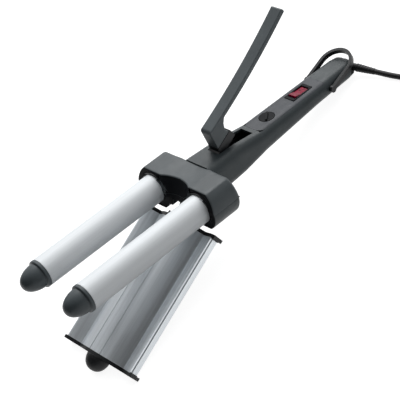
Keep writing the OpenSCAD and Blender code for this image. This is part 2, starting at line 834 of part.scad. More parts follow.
// Arm from the lever's foot, round the pivot and down to the wave plate
module clamp_arm() {
    color(black) stood_clamp() difference() {
        union() {
            side(arm_w) {
                polygon([
                    [arm_rear, foot_z], [foot_front_x - 0.8, foot_z], [foot_front_x + 0.3, foot_z - 3.4],
                    [pivot_x - 8, pivot_z + 5.6], [pivot_x, pivot_z + boss_r], [yoke_x + 1, yoke_top],
                    [yoke_x + 1, yoke_low], [pivot_x, pivot_z - boss_r], [pivot_x - 6, pivot_z - 5],
                    [-head_len + 1, arm_floor - 2.4], [arm_rear, arm_floor]
                ]);
                translate([pivot_x, pivot_z]) circle(r = boss_r, $fn = 96);
            }
            translate([yoke_x, -yoke_w / 2, yoke_low]) cube([yoke_t, yoke_w, yoke_top - yoke_low]);
        }
        translate([pivot_x, 0, pivot_z]) rod_y(2 * arm_w, pivot_d / 2 + running_gap);
        // pocket for the spring
        side(spring_w + 2 * spring_wire_r + 1) {
            translate([pivot_x, pivot_z]) circle(r = spring_r + spring_wire_r + 0.5, $fn = 48);
            translate([pivot_x - 7.5, pivot_z]) square([9, boss_r + 6]);
            translate([pivot_x - 11.4, pivot_z + spring_r - 0.9]) square([4, 1.8]);
        }
        at_yoke_screws() {
            cylinder(h = 20, r = screw_r + 0.1, center = true, $fn = 32);
            cylinder(h = 4, r = screw_head_r + 0.1, $fn = 32);
        }
        at_foot_screws() {
            cylinder(h = 40, r = screw_r + 0.1, center = true, $fn = 32);
            cylinder(h = 12, r = screw_head_r + 0.1, $fn = 32);
        }
    }
}

// Screw seats: the head's underside at the origin, the shank along -Z
module at_yoke_screws() {
    for (s = [-1, 1])
        translate([yoke_x + 1.4, s * (yoke_w / 2 - 3.5), (yoke_top + yoke_low) / 2])
            rotate([0, -90, 0]) children();
}
module at_foot_screws() {
    for (x = [foot_rear_x + 3.6, foot_front_x - 5])
        translate([x, 0, arm_floor + 2.2]) rotate([180, 0, 0]) children();
}

module arm_screws() {
    color(steel) stood_clamp() {
        at_yoke_screws() screw(yoke_t - 1.4 + bar_t - 0.4);
        at_foot_screws() screw(foot_screw_len);
    }
}

/* --- wave plate --- */

// The plate's top line lowered by d: a rim, a wing, the arch, and the same again
function wave_line(d) = concat(
    [[-plate_w, -d], [rim_w - plate_w / 2, -d]],
    [for (k = [-16 : 16])
        let (y = valley_y * k / 16) [y, crest_h - arch_r - d + sqrt(pow(arch_r, 2) - pow(y, 2))]],
    [[plate_w / 2 - rim_w, -d], [plate_w, -d]]
);
module below_wave(d) {
    polygon(concat(wave_line(d), [[plate_w, -3 * flange_h], [-plate_w, -3 * flange_h]]));
}

module plate_band(w, low) {
    translate([-w / 2, low]) square([w, flange_h + crest_h + 10]);
}

module wave_plate() {
    color(plate_metal) on_plate() front(0, plate_len) difference() {
        intersection() {
            below_wave(0);
            plate_band(plate_w, -flange_h);
        }
        intersection() {
            below_wave(plate_t);
            plate_band(plate_w - 2 * plate_t, -2 * flange_h);
        }
        for (s = [-1, 1])
            translate([s * groove_y, crest_h - 0.5]) circle(r = groove_d, $fn = 16);
    }
}

// End cap: closes the plate's section, with a prong over each flange, a foot at each
// corner and a lug for each cover screw
module end_bar() {
    front(0, bar_t) {
        intersection() {
            below_wave(0);
            plate_band(plate_w + 2 * bar_over, -flange_h);
        }
        for (s = [-1, 1])
            translate([s * (plate_w / 2 + bar_over) - (s + 1) / 2 * foot_w, -foot_drop])
                square([foot_w, foot_drop - flange_h + 1]);
    }
    for (s = [-1, 1]) {
        translate([-prong_len, s * (plate_w + prong_t + seat_gap) / 2 - (prong_t - seat_gap) / 2, -flange_h])
            cube([prong_len + 1, prong_t - seat_gap, flange_h - 0.6]);
        translate([-lug_len, s * lug_y - lug_w / 2, -flange_h + cover_t])
            cube([lug_len + 1, lug_w, lug_h]);
    }
}

module rear_bar() {
    color(black) on_plate() difference() {
        mirror([1, 0, 0]) end_bar();
        at_cover_screws() cylinder(h = 10, r = screw_r, $fn = 32);
        translate([-plate_x, 0, closed_drop]) at_yoke_screws()
            cylinder(h = 20, r = screw_r, center = true, $fn = 32);
    }
}

module front_bar() {
    color(black) on_plate() difference() {
        translate([plate_len, 0, 0]) end_bar();
        at_cover_screws() cylinder(h = 10, r = screw_r, $fn = 32);
    }
}

// Third cool tip, in the middle of the front bar; its underside is flat to clear the table
module plate_tip() {
    color(black) difference() {
        on_plate() translate([plate_len + bar_t, 0, tip_z]) rotate([0, 90, 0])
            rotate_extrude($fn = 96) polygon(concat([[0, 0]], dome(tip_r, tip_reach, 0)));
        translate([-500, -500, -40]) cube([1000, 1000, 40.3]);
    }
}

module at_cover_screws() {
    for (x = [lug_len / 2, plate_len - lug_len / 2], s = [-1, 1])
        translate([x, s * lug_y, -flange_h + 0.8]) children();
}

module plate_cover() {
    color([0.15, 0.16, 0.17]) on_plate() difference() {
        translate([seat_gap, -plate_w / 2 + plate_t + seat_gap, -flange_h])
            cube([plate_len - 2 * seat_gap, plate_w - 2 * plate_t - 2 * seat_gap, cover_t]);
        at_cover_screws() {
            cylinder(h = 10, r = screw_r + 0.1, center = true, $fn = 32);
            mirror([0, 0, 1]) cylinder(h = 4, r = screw_head_r + 0.1, $fn = 32);
        }
    }
}

module cover_screws() {
    color(steel) on_plate() at_cover_screws() mirror([0, 0, 1]) {
        cylinder(h = 0.8, r = screw_head_r, $fn = 32);
        translate([0, 0, -cover_t - lug_h + 1.2])
            cylinder(h = cover_t + lug_h - 1.2, r = screw_r - 0.02, $fn = 32);
    }
}

module plate_heater() {
    color([0.7, 0.7, 0.7]) on_plate() difference() {
        translate([plate_heater_x, -plate_heater_w / 2, plate_heater_top - plate_heater_h])
            cube([plate_heater_len, plate_heater_w, plate_heater_h]);
        translate([plate_heater_x - 1, -ceramic_w / 2 - seat_gap, plate_ceramic_z - seat_gap])
            cube([plate_heater_len + 2, ceramic_w + 2 * seat_gap, plate_ceramic_t + 2 * seat_gap]);
    }
}
module plate_ceramic() {
    color([0.92, 0.9, 0.85]) on_plate()
        translate([plate_heater_x + ceramic_inset, -ceramic_w / 2, plate_ceramic_z])
            cube([plate_heater_len - 2 * ceramic_inset, ceramic_w, plate_ceramic_t]);
}

/* --- tail --- */

module loop_outline(r, back) {
    translate([-back, 0]) circle(r = r, $fn = 96);
    translate([-back, -r]) square([back, 2 * r]);
}

module hanging_loop() {
    r_out = loop_in + loop_t;
    arc_back = loop_len - r_out;
    color(black) stand() translate([loop_pin_x, 0, loop_pin_z]) rotate([0, loop_angle, 0]) {
        linear_extrude(loop_w, center = true) difference() {
            loop_outline(r_out, arc_back);
            translate([1, 0]) loop_outline(loop_in, arc_back + 1);
        }
        both_sides() {
            translate([0, loop_in + loop_t / 2, 0]) rod_y(loop_t, loop_w / 2 + 0.9);
            translate([0, loop_in - loop_pin_len / 2 + e, 0]) rod_y(loop_pin_len, loop_pin_r);
        }
    }
}

module along_relief(from) {
    d = unit(relief_dir);
    translate(ball_stood + from * d) rotate([0, acos(d[2]), atan2(d[1], d[0])]) children();
}

module swivel_ball() {
    color(black) translate(ball_stood) sphere(r = ball_r, $fn = 64);
}

// Ribbed, tapered boot that turns with the ball
module strain_relief() {
    rib = 1.3;
    ribs = floor((relief_len - 9) / (2 * rib));
    taper = relief_root_r - relief_end_r;
    color(black) difference() {
        union() {
            along_relief(0)
                cylinder(h = ball_r + relief_len, r1 = relief_root_r, r2 = relief_end_r, $fn = 48);
            for (i = [0 : ribs - 1]) along_relief(ball_r + 8 + 2 * rib * i)
                cylinder(h = rib, r = relief_root_r + 0.1 - taper * i / ribs, $fn = 48);
        }
        translate(ball_stood) sphere(r = ball_r + e, $fn = 64);
    }
}

/* --- mains cord, lying on the table --- */

lead_points = concat(
    [for (k = [0, 5]) relief_tip + k * unit(relief_dir)],
    [for (y = [48, 58, 68, 78, 87]) [relief_tip[0] - 5 + 0.006 * max(0, 68 - y) * (68 - y), y, lie_z]]
);

module cord_lead() {
    color(black) swept_tube(lead_points, cord_d / 2, 10);
}

// Outer shape of the wound turns
module cord_coil() {
    color(black) translate([coil_x, coil_y, floor_gap]) rotate_extrude($fn = 96)
        translate([coil_inner_r, 0]) square([coil_outer_r - coil_inner_r, coil_h]);
}

// The last turn climbs off the others and curls in to the plug on top of them
tail_r = 21.5;
tail_start = 41.4;
tail_run = tail_start + tail_r * 110 * PI / 180;
function tail_z(u) = lie_z + cord_d + (plug_z - lie_z - cord_d) * u * u * (3 - 2 * u);
tail_points = concat(
    [for (a = [10, 25, 40, 55, 70])
        [coil_x + 39.4 * cos(a), coil_y + 39.4 * sin(a), tail_z(tail_start * (a - 10) / 60 / tail_run)]],
    [for (k = [1 : 8])
        let (a = 70 + 110 * k / 8)
        [coil_x + 6.2 + tail_r * cos(a), coil_y + 17.1 + tail_r * sin(a),
            tail_z((tail_start + tail_r * (a - 70) * PI / 180) / tail_run)]],
    [[plug_x, plug_y, plug_z]]
);

module cord_tail() {
    color(black) swept_tube(tail_points, cord_d / 2, 10);
}

// Band round the turns, open below
module cord_tie() {
    mid = -(coil_inner_r + coil_outer_r) / 2;
    half = (coil_outer_r - coil_inner_r) / 2;
    color([0.15, 0.15, 0.15]) translate([coil_x, coil_y + mid, 0]) difference() {
        translate([-2, -half - 1.2, 0.3]) cube([4, 2 * half + 2.4, coil_h + 0.8]);
        translate([-3, -half - 0.15, -1]) cube([6, 2 * half + 0.3, floor_gap + coil_h + 1.05]);
    }
}

// The plug lies flat on the turns, its pins towards -Y
module on_plug() {
    translate([plug_x, plug_y, plug_z]) rotate([0, 0, -90]) children();
}

module plug_body() {
    color(black) on_plug() {
        rod_x(0, 9, 4.2);
        front(8, 22) {
            square([plug_w - 2 * plug_r, 2 * plug_r], center = true);
            for (s = [-1, 1]) translate([s * (plug_w / 2 - plug_r), 0]) circle(r = plug_r, $fn = 64);
        }
    }
}

module plug_pins() {
    color([0.8, 0.8, 0.75]) on_plug() for (s = [-1, 1])
        translate([0, s * pin_pitch / 2, 0]) rod_x(30, 19, 2);
}

head_upper();
head_lower();
head_screws();
left_barrel();
right_barrel();
left_insulator();
right_insulator();
left_tip();
right_tip();
left_heater();
right_heater();
left_ceramic();
right_ceramic();
handle_upper();
handle_lower();
handle_screws();
control_panel();
switch_housing();
power_rocker();
indicator_lamp();
temperature_dial();
potentiometer();
circuit_board();
thermal_fuse();
heater_wires();
mains_wires();
pivot_pin();
clamp_spring();
finger_lever();
clamp_arm();
arm_screws();
wave_plate();
rear_bar();
front_bar();
plate_tip();
plate_cover();
cover_screws();
plate_heater();
plate_ceramic();
hanging_loop();
swivel_ball();
strain_relief();
cord_lead();
cord_coil();
cord_tail();
cord_tie();
plug_body();
plug_pins();
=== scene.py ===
# Looks of the hair waver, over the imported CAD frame. Metres, row frame.
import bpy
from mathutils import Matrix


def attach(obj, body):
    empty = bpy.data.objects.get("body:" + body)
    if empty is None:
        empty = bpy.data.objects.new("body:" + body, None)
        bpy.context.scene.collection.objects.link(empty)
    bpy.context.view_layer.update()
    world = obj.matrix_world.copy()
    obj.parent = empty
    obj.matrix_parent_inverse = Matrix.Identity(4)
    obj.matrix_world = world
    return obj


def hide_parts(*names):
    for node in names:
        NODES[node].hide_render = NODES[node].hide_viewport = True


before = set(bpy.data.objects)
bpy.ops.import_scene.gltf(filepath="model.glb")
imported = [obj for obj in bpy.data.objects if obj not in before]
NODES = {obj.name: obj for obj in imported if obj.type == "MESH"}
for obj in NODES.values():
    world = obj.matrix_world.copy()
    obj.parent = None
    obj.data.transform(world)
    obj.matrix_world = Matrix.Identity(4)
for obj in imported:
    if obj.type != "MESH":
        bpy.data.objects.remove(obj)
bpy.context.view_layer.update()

import math
import bpy
import bmesh
from mathutils import Matrix, Vector

MM = 0.001
SCENE = bpy.context.scene

# ---------------------------------------------------------------- frames
# Tool frame, in mm: +X along the barrels, z = 0 through their axes, x = 0 at the head's front.
# Pairs are (x, z). The sizes are those of part.scad.
PIVOT = (-14.7, -12.0)
OPEN = math.radians(27.7)
PLATE_X, PLATE_DROP, PLATE_LEN = 6.3, 10.9, 126.6
FRONT_BAR_END = PLATE_X + PLATE_LEN + 3.0
FRONT_BAR_FOOT, PLATE_TIP_LEN, PLATE_TIP_Z = -21.9, 11.5, -14.3
TAIL_FOOT = (-209.0, -3.2)
LOOP_PIN, LOOP_LEN, LOOP_WIRE, LOOP_LIFT = (-177, 3.5), 40, 2.1, math.radians(20)


def ease(t):
    """0 to 1, level at both ends."""
    return t * t * (3 - 2 * t)


def opened(p):
    """A point of the closed clamp, turned about the pivot to where it rests."""
    dx, dz = p[0] - PIVOT[0], p[1] - PIVOT[1]
    return (PIVOT[0] + dx * math.cos(OPEN) + dz * math.sin(OPEN),
            PIVOT[1] - dx * math.sin(OPEN) + dz * math.cos(OPEN))


# The tool stands on the front bar's foot and the tail's foot, with its ends even about x = 0
front_foot = opened((FRONT_BAR_END, FRONT_BAR_FOOT))
STAND = math.atan2(TAIL_FOOT[1] - front_foot[1], front_foot[0] - TAIL_FOOT[0])
CS, SN = math.cos(STAND), math.sin(STAND)
LIFT = -(TAIL_FOOT[0] * SN + TAIL_FOOT[1] * CS)
nose = opened((FRONT_BAR_END + PLATE_TIP_LEN, PLATE_TIP_Z))
loop_tip = (LOOP_PIN[0] - LOOP_LEN * math.cos(LOOP_LIFT) - LOOP_WIRE * math.sin(LOOP_LIFT),
            LOOP_PIN[1] + LOOP_LEN * math.sin(LOOP_LIFT) - LOOP_WIRE * math.cos(LOOP_LIFT))
SHIFT = -((nose[0] * CS - nose[1] * SN) + (loop_tip[0] * CS - loop_tip[1] * SN)) / 2

# From millimetres of the tool's, the clamp's and the plate's own frame to metres at rest
TOOL = Matrix.Scale(MM, 4) @ Matrix.Translation((SHIFT, 0, LIFT)) @ Matrix.Rotation(-STAND, 4, "Y")
CLAMP = (TOOL @ Matrix.Translation((PIVOT[0], 0, PIVOT[1])) @ Matrix.Rotation(OPEN, 4, "Y")
         @ Matrix.Translation((-PIVOT[0], 0, -PIVOT[1])))
PLATE = CLAMP @ Matrix.Translation((PLATE_X, 0, -PLATE_DROP))

# ---------------------------------------------------------------- camera
# Fitted to the photo in the tool frame: the picture's right, down and forward, and the place
CAM_RIGHT = (-0.71044584, 0.6589421, -0.24637351)
CAM_DOWN = (0.54906348, 0.30076579, -0.77939543)
CAM_AHEAD = (-0.43946451, -0.68944561, -0.57547885)
CAM_AT = Vector((513.87, 841.20, 685.32))
FOCAL_PX, PHOTO_PX, SENSOR_MM = 1462.276, 400, 36.0
cam_data = bpy.data.cameras.new("camera")
cam_data.sensor_width = SENSOR_MM
cam_data.lens = FOCAL_PX * SENSOR_MM / PHOTO_PX
cam_data.clip_end = 20
cam = bpy.data.objects.new("camera", cam_data)
SCENE.collection.objects.link(cam)
turn = TOOL.to_3x3().normalized()
axes = (turn @ Vector(CAM_RIGHT), -(turn @ Vector(CAM_DOWN)), -(turn @ Vector(CAM_AHEAD)))
cam.matrix_world = Matrix.Translation(TOOL @ CAM_AT) @ Matrix(axes).transposed().to_4x4()
SCENE.camera = cam


# ---------------------------------------------------------------- materials
def rgb(v):
    return (v[0], v[1], v[2], 1.0)


class Nodes:
    """One material on the Principled shader; names of sockets come with underscores."""

    def __init__(self, name, color, rough, metallic=0.0, **sockets):
        self.mat = bpy.data.materials.new(name)
        self.mat.use_nodes = True
        self.t = self.mat.node_tree
        self.b = self.t.nodes["Principled BSDF"]
        self.b.inputs["Base Color"].default_value = rgb(color)
        self.b.inputs["Roughness"].default_value = rough
        self.b.inputs["Metallic"].default_value = metallic
        for k, v in sockets.items():
            self.b.inputs[k.replace("_", " ")].default_value = v
        self.mat.diffuse_color = rgb(color)
        self.coord = None
        self.height = None

    def add(self, kind, **props):
        n = self.t.nodes.new(kind)
        for k, v in props.items():
            setattr(n, k, v)
        return n

    def link(self, a, b):
        self.t.links.new(a, b)

    def where(self, along=None):
        """Object coordinates, or ones drawn out along the X axis of a frame."""
        if self.coord is None:
            self.coord = self.add("ShaderNodeTexCoord")
        if along is None:
            return self.coord.outputs["Object"]
        m = self.add("ShaderNodeMapping", vector_type="TEXTURE")
        m.inputs["Rotation"].default_value = along.to_3x3().normalized().to_euler()
        m.inputs["Scale"].default_value = (DRAWN_OUT, 1, 1)
        self.link(self.coord.outputs["Object"], m.inputs["Vector"])
        return m.outputs["Vector"]

    def noise(self, scale, detail=3.0, rough=0.5, along=None):
        n = self.add("ShaderNodeTexNoise")
        n.inputs["Scale"].default_value = scale
        n.inputs["Detail"].default_value = detail
        n.inputs["Roughness"].default_value = rough
        self.link(self.where(along), n.inputs["Vector"])
        return n.outputs["Fac"]

    def span(self, fac, lo, hi, a=0.3, b=0.7):
        m = self.add("ShaderNodeMapRange")
        m.inputs["From Min"].default_value = a
        m.inputs["From Max"].default_value = b
        m.inputs["To Min"].default_value = lo
        m.inputs["To Max"].default_value = hi
        self.link(fac, m.inputs["Value"])
        return m.outputs["Result"]

    def tint(self, fac, lo, hi, a=0.3, b=0.7):
        r = self.add("ShaderNodeValToRGB")
        r.color_ramp.elements[0].position = a
        r.color_ramp.elements[1].position = b
        r.color_ramp.elements[0].color = rgb(lo)
        r.color_ramp.elements[1].color = rgb(hi)
        self.link(fac, r.inputs["Fac"])
        self.link(r.outputs["Color"], self.b.inputs["Base Color"])

    def roughness(self, fac, lo, hi, a=0.3, b=0.7):
        self.link(self.span(fac, lo, hi, a, b), self.b.inputs["Roughness"])

    def bump(self, fac, depth, strength):
        n = self.add("ShaderNodeBump")
        n.inputs["Strength"].default_value = strength
        n.inputs["Distance"].default_value = depth
        self.link(fac, n.inputs["Height"])
        if self.height is not None:
            self.link(self.height, n.inputs["Normal"])
        self.height = n.outputs["Normal"]
        self.link(self.height, self.b.inputs["Normal"])


DRAWN_OUT = 50
MOTTLE = 0.125


def plastic(name, color, rough, grain=0.00003, **sockets):
    """Moulded plastic: fine spark-erosion grain, soft handling polish, faint mottling."""
    sockets.setdefault("Specular_IOR_Level", 0.32)
    n = Nodes(name, color, rough, **sockets)
    n.tint(n.noise(38, 4, 0.55), [c * (1 - MOTTLE) for c in color], [c * (1 + MOTTLE) for c in color])
    n.roughness(n.noise(90, 5, 0.6), rough - 0.05, rough + 0.08)
    n.bump(n.noise(3800, 2, 0.5), grain, 0.6)
    n.bump(n.noise(120, 3, 0.5), grain * 2.0, 0.35)
    return n.mat


def metal(name, color, rough, along=None, streaks=0.04, bare=1.0, **sockets):
    """Metal with fine drawn lines and paler and darker streaks along a frame's X axis."""
    n = Nodes(name, color, rough, bare, **sockets)
    lines = n.noise(900, 3, 0.6, along)
    bands = n.noise(260, 4, 0.7, along)
    n.tint(bands, [c * (1 - streaks) for c in color], [min(1, c * (1 + streaks)) for c in color])
    n.roughness(lines, rough - 0.05, rough + 0.07)
    n.bump(lines, 0.000006, 0.5)
    return n.mat


def tinted(name, deep, light, gloss=0.5):
    """Clear coloured plastic over a lamp: deeper and paler clouds, polished, faintly wavy."""
    n = Nodes(name, light, 0.18, Specular_IOR_Level=gloss, Subsurface_Weight=0.15)
    n.b.inputs["Subsurface Radius"].default_value = (0.004, 0.0006, 0.0006)
    n.tint(n.noise(260, 3, 0.5), deep, light, 0.35, 0.65)
    n.roughness(n.noise(900, 4, 0.6), 0.12, 0.24)
    n.bump(n.noise(420, 2, 0.5), 0.00003, 0.4)
    return n.mat


M = {}
# Painted light: the head's upper shell gets a paler copy of the charcoal shell plastic, so its top reads lit.
# The lower shell and the handle keep the darker one.
M["top"] = plastic("charcoal_top", (0.070, 0.082, 0.088), 0.42)
M["shell"] = plastic("charcoal_shell", (0.035, 0.045, 0.049), 0.42)
M["lever"] = plastic("charcoal_lever", (0.105, 0.122, 0.130), 0.42)
M["black"] = plastic("black_plastic", (0.012, 0.013, 0.015), 0.36, 0.00001)
M["dial"] = plastic("dial_black", (0.008, 0.009, 0.011), 0.45, 0.00001, Specular_IOR_Level=0.06)
M["cool"] = plastic("cool_tip", (0.070, 0.084, 0.091), 0.40, 0.00001)
M["panel"] = plastic("panel_grey", (0.037, 0.042, 0.052), 0.42, 0.00001, Specular_IOR_Level=0.27)
M["cord"] = plastic("cord_rubber", (0.014, 0.014, 0.015), 0.48, 0.00001)
M["cover"] = plastic("cover_black", (0.02, 0.021, 0.023), 0.5)
M["barrel"] = metal("barrel_metal", (0.82, 0.845, 0.865), 0.46, TOOL, 0.05, bare=0.08,
                    Specular_IOR_Level=0.22)
M["plate"] = metal("plate_metal", (0.725, 0.76, 0.79), 0.38, PLATE, 0.13, bare=0.85)
M["steel"] = metal("steel", (0.55, 0.55, 0.56), 0.3)
M["core"] = metal("heater_core", (0.5, 0.5, 0.5), 0.5)
M["brass"] = metal("plug_metal", (0.72, 0.66, 0.48), 0.25)
M["red"] = tinted("rocker_red", (0.13, 0.001, 0.014), (0.32, 0.002, 0.038), 0.13)
M["lamp"] = tinted("lamp_glass", (0.70, 0.20, 0.08), (0.90, 0.38, 0.16))
M["ceramic"] = plastic("ceramic", (0.72, 0.70, 0.64), 0.6)
M["board"] = plastic("board_green", (0.03, 0.12, 0.05), 0.4)
M["wire"] = plastic("wire_insulation", (0.02, 0.02, 0.022), 0.45)


# ---------------------------------------------------------------- mesh tools
def place(name, bm, body, material, node, smooth):
    """Puts a mesh that stands for a CAD node into the scene."""
    me = bpy.data.meshes.new(name)
    bmesh.ops.recalc_face_normals(bm, faces=bm.faces)
    bm.to_mesh(me)
    bm.free()
    ob = bpy.data.objects.new(name, me)
    SCENE.collection.objects.link(ob)
    me.materials.append(material)
    shade(ob, smooth)
    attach(ob, body)
    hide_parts(node)
    return ob


def shade(ob, degrees):
    """Smooth shading, with sharp edges where faces meet at more than some degrees."""
    me = ob.data
    me.polygons.foreach_set("use_smooth", [True] * len(me.polygons))
    bm = bmesh.new()
    bm.from_mesh(me)
    lim = math.radians(degrees)
    for e in bm.edges:
        e.smooth = not (len(e.link_faces) == 2 and e.calc_face_angle(0) > lim)
    bm.to_mesh(me)
    bm.free()


def apply_modifiers(ob):
    bpy.context.view_layer.update()
    dg = bpy.context.evaluated_depsgraph_get()
    me = bpy.data.meshes.new_from_object(ob.evaluated_get(dg))
    old = ob.data
    ob.modifiers.clear()
    ob.data = me
    bpy.data.meshes.remove(old)


WELD = 0.02


def refine(node, body, material, bevel, segments=3, angle=32, smooth=38, wide=None, most=0.0,
           frame_of=TOOL, reshape=None, inner=True):
    """A CAD node redrawn with welded corners, rounded edges and smooth curved faces.

    Edges sharper than angle are rounded by bevel, in mm. reshape(bm) works on the mesh in
    frame_of's millimetres. wide(a, b) gives the rounding of the edge a-b in the same frame,
    up to most, or None for the usual one. inner=False leaves the hollow corners sharp, where
    another body passes close.
    """
    bm = bmesh.new()
    bm.from_mesh(NODES[node].data)
    bmesh.ops.remove_doubles(bm, verts=bm.verts, dist=WELD * MM)
    bmesh.ops.dissolve_limit(bm, angle_limit=math.radians(0.6), verts=bm.verts, edges=bm.edges)
    back_to = frame_of.inverted()
    if reshape:
        bmesh.ops.transform(bm, matrix=back_to, verts=bm.verts)
        reshape(bm)
        bmesh.ops.transform(bm, matrix=frame_of, verts=bm.verts)
    most = max(bevel, most)
    if most:
        weight = bm.edges.layers.float.new("bevel_weight_edge")
        for e in bm.edges:
            if len(e.link_faces) == 2 and e.calc_face_angle(0) > math.radians(angle):
                w = wide(back_to @ e.verts[0].co, back_to @ e.verts[1].co) if wide else None
                if inner or e.is_convex:
                    e[weight] = (bevel if w is None else w) / most
    ob = place(node + "_piece", bm, body, material, node, smooth)
    if most:
        m = ob.modifiers.new("round", "BEVEL")
        m.width = most * MM
        m.segments = segments
        m.limit_method = "WEIGHT"
        m.use_clamp_overlap = wide is None
        apply_modifiers(ob)
        shade(ob, smooth)
        m = ob.modifiers.new("flats", "WEIGHTED_NORMAL")
        m.keep_sharp = True
        apply_modifiers(ob)
    return ob


HEAD_LEN, BESIDE_NECK = 30, 19.3


def head_edge(a, b):
    """The head's rear rim is rounded wider beyond the neck, and the seam of its shells hardly."""
    y = (abs(a.y) + abs(b.y)) / 2
    rear = abs(a.x + HEAD_LEN) < 0.1 and abs(b.x + HEAD_LEN) < 0.1
    if rear and y > BESIDE_NECK and max(abs(a.z), abs(b.z)) > 0.3:
        return 1.0 + 2.2 * ease(min(1, (y - BESIDE_NECK) / 8))
    if max(abs(a.z), abs(b.z)) < 0.05:
        return 0.2
    return None


def neck_cuts(bm):
    """Cuts beside the neck, so that the rear rim's rounding can grow step by step."""
    for y in (20.5, 22, 23.5, 25, 26.5, 28):
        for s in (-1, 1):
            bmesh.ops.bisect_plane(bm, geom=bm.verts[:] + bm.edges[:] + bm.faces[:],
                                   plane_co=(0, s * y, 0), plane_no=(0, 1, 0))


def paint_front_shade(ob):
    """Painted shade: the head's front faces take the near-black dial plastic for the shadow they stand in,
    though the moulding is the same plastic as the rest of its shell.
    """
    ob.data.materials.append(M["dial"])
    back_to = TOOL.inverted()
    turned = back_to.to_3x3().normalized()
    for f in ob.data.polygons:
        if (turned @ f.normal).x > 0.75 and (back_to @ f.center).x > -12:
            f.material_index = 1


ELBOW, LEVER_END_X = (-66.2, 16.8), -180


def lever_edge(a, b):
    """Rounded elbow and tip of the finger lever."""
    if abs(a.y - b.y) > 8:
        if math.hypot(a.x - ELBOW[0], a.z - ELBOW[1]) < 0.6:
            return 3.0
        if a.x < LEVER_END_X:
            return 1.6
    return None


DIAL_TOP, GRIP_RISE = 11.3, 0.8


def dial_grip(bm):
    """The grip bar across the dial stands higher."""
    for v in bm.verts:
        if v.co.z > DIAL_TOP:
            v.co.z += GRIP_RISE


PRONG_Y, PRONG_LAP = 40.5, 0.6


def short_prongs(bm):
    """The end bars' outer prongs hardly lap over the flanges."""
    for v in bm.verts:
        if abs(v.co.y) > PRONG_Y and PRONG_LAP < v.co.x < PLATE_LEN - PRONG_LAP:
            v.co.x = PRONG_LAP if v.co.x < PLATE_LEN / 2 else PLATE_LEN - PRONG_LAP


FLANGE_Y, LINE_BELOW_RIM, LINE_HALF, LINE_DEPTH = 41.25, 2.4, 0.9, 0.8


def flange_line(bm):
    """A pressed line runs along each outer flange, below its rim."""
    rim = max(v.co.z for v in bm.verts if abs(v.co.y) > FLANGE_Y - 0.25)
    line = rim - LINE_BELOW_RIM
    for z in (line + LINE_HALF, line, line - LINE_HALF):
        bmesh.ops.bisect_plane(bm, geom=bm.verts[:] + bm.edges[:] + bm.faces[:], plane_co=(0, 0, z),
                               plane_no=(0, 0, 1))
    for v in bm.verts:
        if abs(abs(v.co.y) - FLANGE_Y) < 0.02 and abs(v.co.z - line) < 0.01:
            v.co.y -= math.copysign(LINE_DEPTH, v.co.y)


# ---------------------------------------------------------------- cord
# Its centre line in mm at rest. It leaves the swivel's strain relief along RELIEF.
BALL = (-209.0, 5.0)
RELIEF, RELIEF_LEN = Vector((-0.15, 0.983, -0.104)).normalized(), 31.5
CORD_D, CORD_LEN = 5.0, 1.63
ball = Vector((BALL[0] * CS - BALL[1] * SN + SHIFT, 0.0, BALL[0] * SN + BALL[1] * CS + LIFT))
tip = ball + RELIEF_LEN * RELIEF

# The coil's two layers have turns one diameter apart; the route has a point every STEP degrees
LOWER = CORD_D / 2 + 0.1
UPPER = LOWER + CORD_D
STEP, PER_TURN = 15, 24
COIL = (tip.x - 45, 94.0)
COIL_OUT, COIL_IN, UPPER_STEPS = 40, 20, 90
UPPER_OUT = COIL_IN + CORD_D * UPPER_STEPS / PER_TURN

# From the upper layer the cord climbs and curls into the plug, which lies on the coil
PLUG = Vector((COIL[0] - 15.3, COIL[1] + 15, 17.05))
CLIMB_FROM, CURL_FROM, CURL_TO = 10, 70, 180
CURL_R, CURL_AT = 21.5, (6.2, 17.1)
ARC_PER_DEGREE, CLIMB_LEN = 0.69, 82.7


def ring(r, deg, z, at=(0, 0)):
    """A route point on a turn. A cubic spline runs 1.1% inside points 15 degrees apart."""
    a = math.radians(deg)
    return Vector((COIL[0] + at[0] + 1.0114 * r * math.cos(a), COIL[1] + at[1] + 1.0114 * r * math.sin(a), z))


def climb(run):
    return UPPER + (PLUG.z - UPPER) * ease(run / CLIMB_LEN)


route = [tip, tip + CORD_D * RELIEF]
for y in (48, 58, 68, 78, 87):
    route.append(Vector((tip.x - 5 + 0.006 * max(0, 68 - y) ** 2, y, LOWER)))
for k in range(4 * PER_TURN + 1):
    route.append(ring(COIL_OUT - CORD_D * k / PER_TURN, STEP * k, LOWER))
for k in range(1, 6):
    route.append(ring(COIL_IN, STEP * k, LOWER + CORD_D * ease(k / 6)))
for k in range(UPPER_STEPS + 1):
    route.append(ring(COIL_IN + CORD_D * k / PER_TURN, 90 + STEP * k, UPPER))
for d in (15, 30, 45, 60, CURL_FROM):
    route.append(ring(UPPER_OUT + CORD_D * d / 360, d, climb((d - CLIMB_FROM) * ARC_PER_DEGREE)))
for k in range(1, 9):
    d = CURL_FROM + (CURL_TO - CURL_FROM) * k / 8
    run = (CURL_FROM - CLIMB_FROM) * ARC_PER_DEGREE + CURL_R * math.radians(d - CURL_FROM)
    route.append(ring(CURL_R, d, climb(run), CURL_AT))
route.append(PLUG)

curve = bpy.data.curves.new("mains_cord", "CURVE")
curve.dimensions = "3D"
curve.bevel_depth = CORD_D / 2 * MM
curve.bevel_resolution = 5
curve.resolution_u = 3
curve.use_fill_caps = True
spline = curve.splines.new("NURBS")
spline.points.add(len(route) - 1)
for point, p in zip(spline.points, route):
    point.co = (p.x * MM, p.y * MM, p.z * MM, 1)
spline.order_u = 4
spline.use_endpoint_u = True
cord = bpy.data.objects.new("mains_cord", curve)
SCENE.collection.objects.link(cord)
curve.materials.append(M["cord"])
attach(cord, "tool")
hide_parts("cord_lead", "cord_coil", "cord_tail")
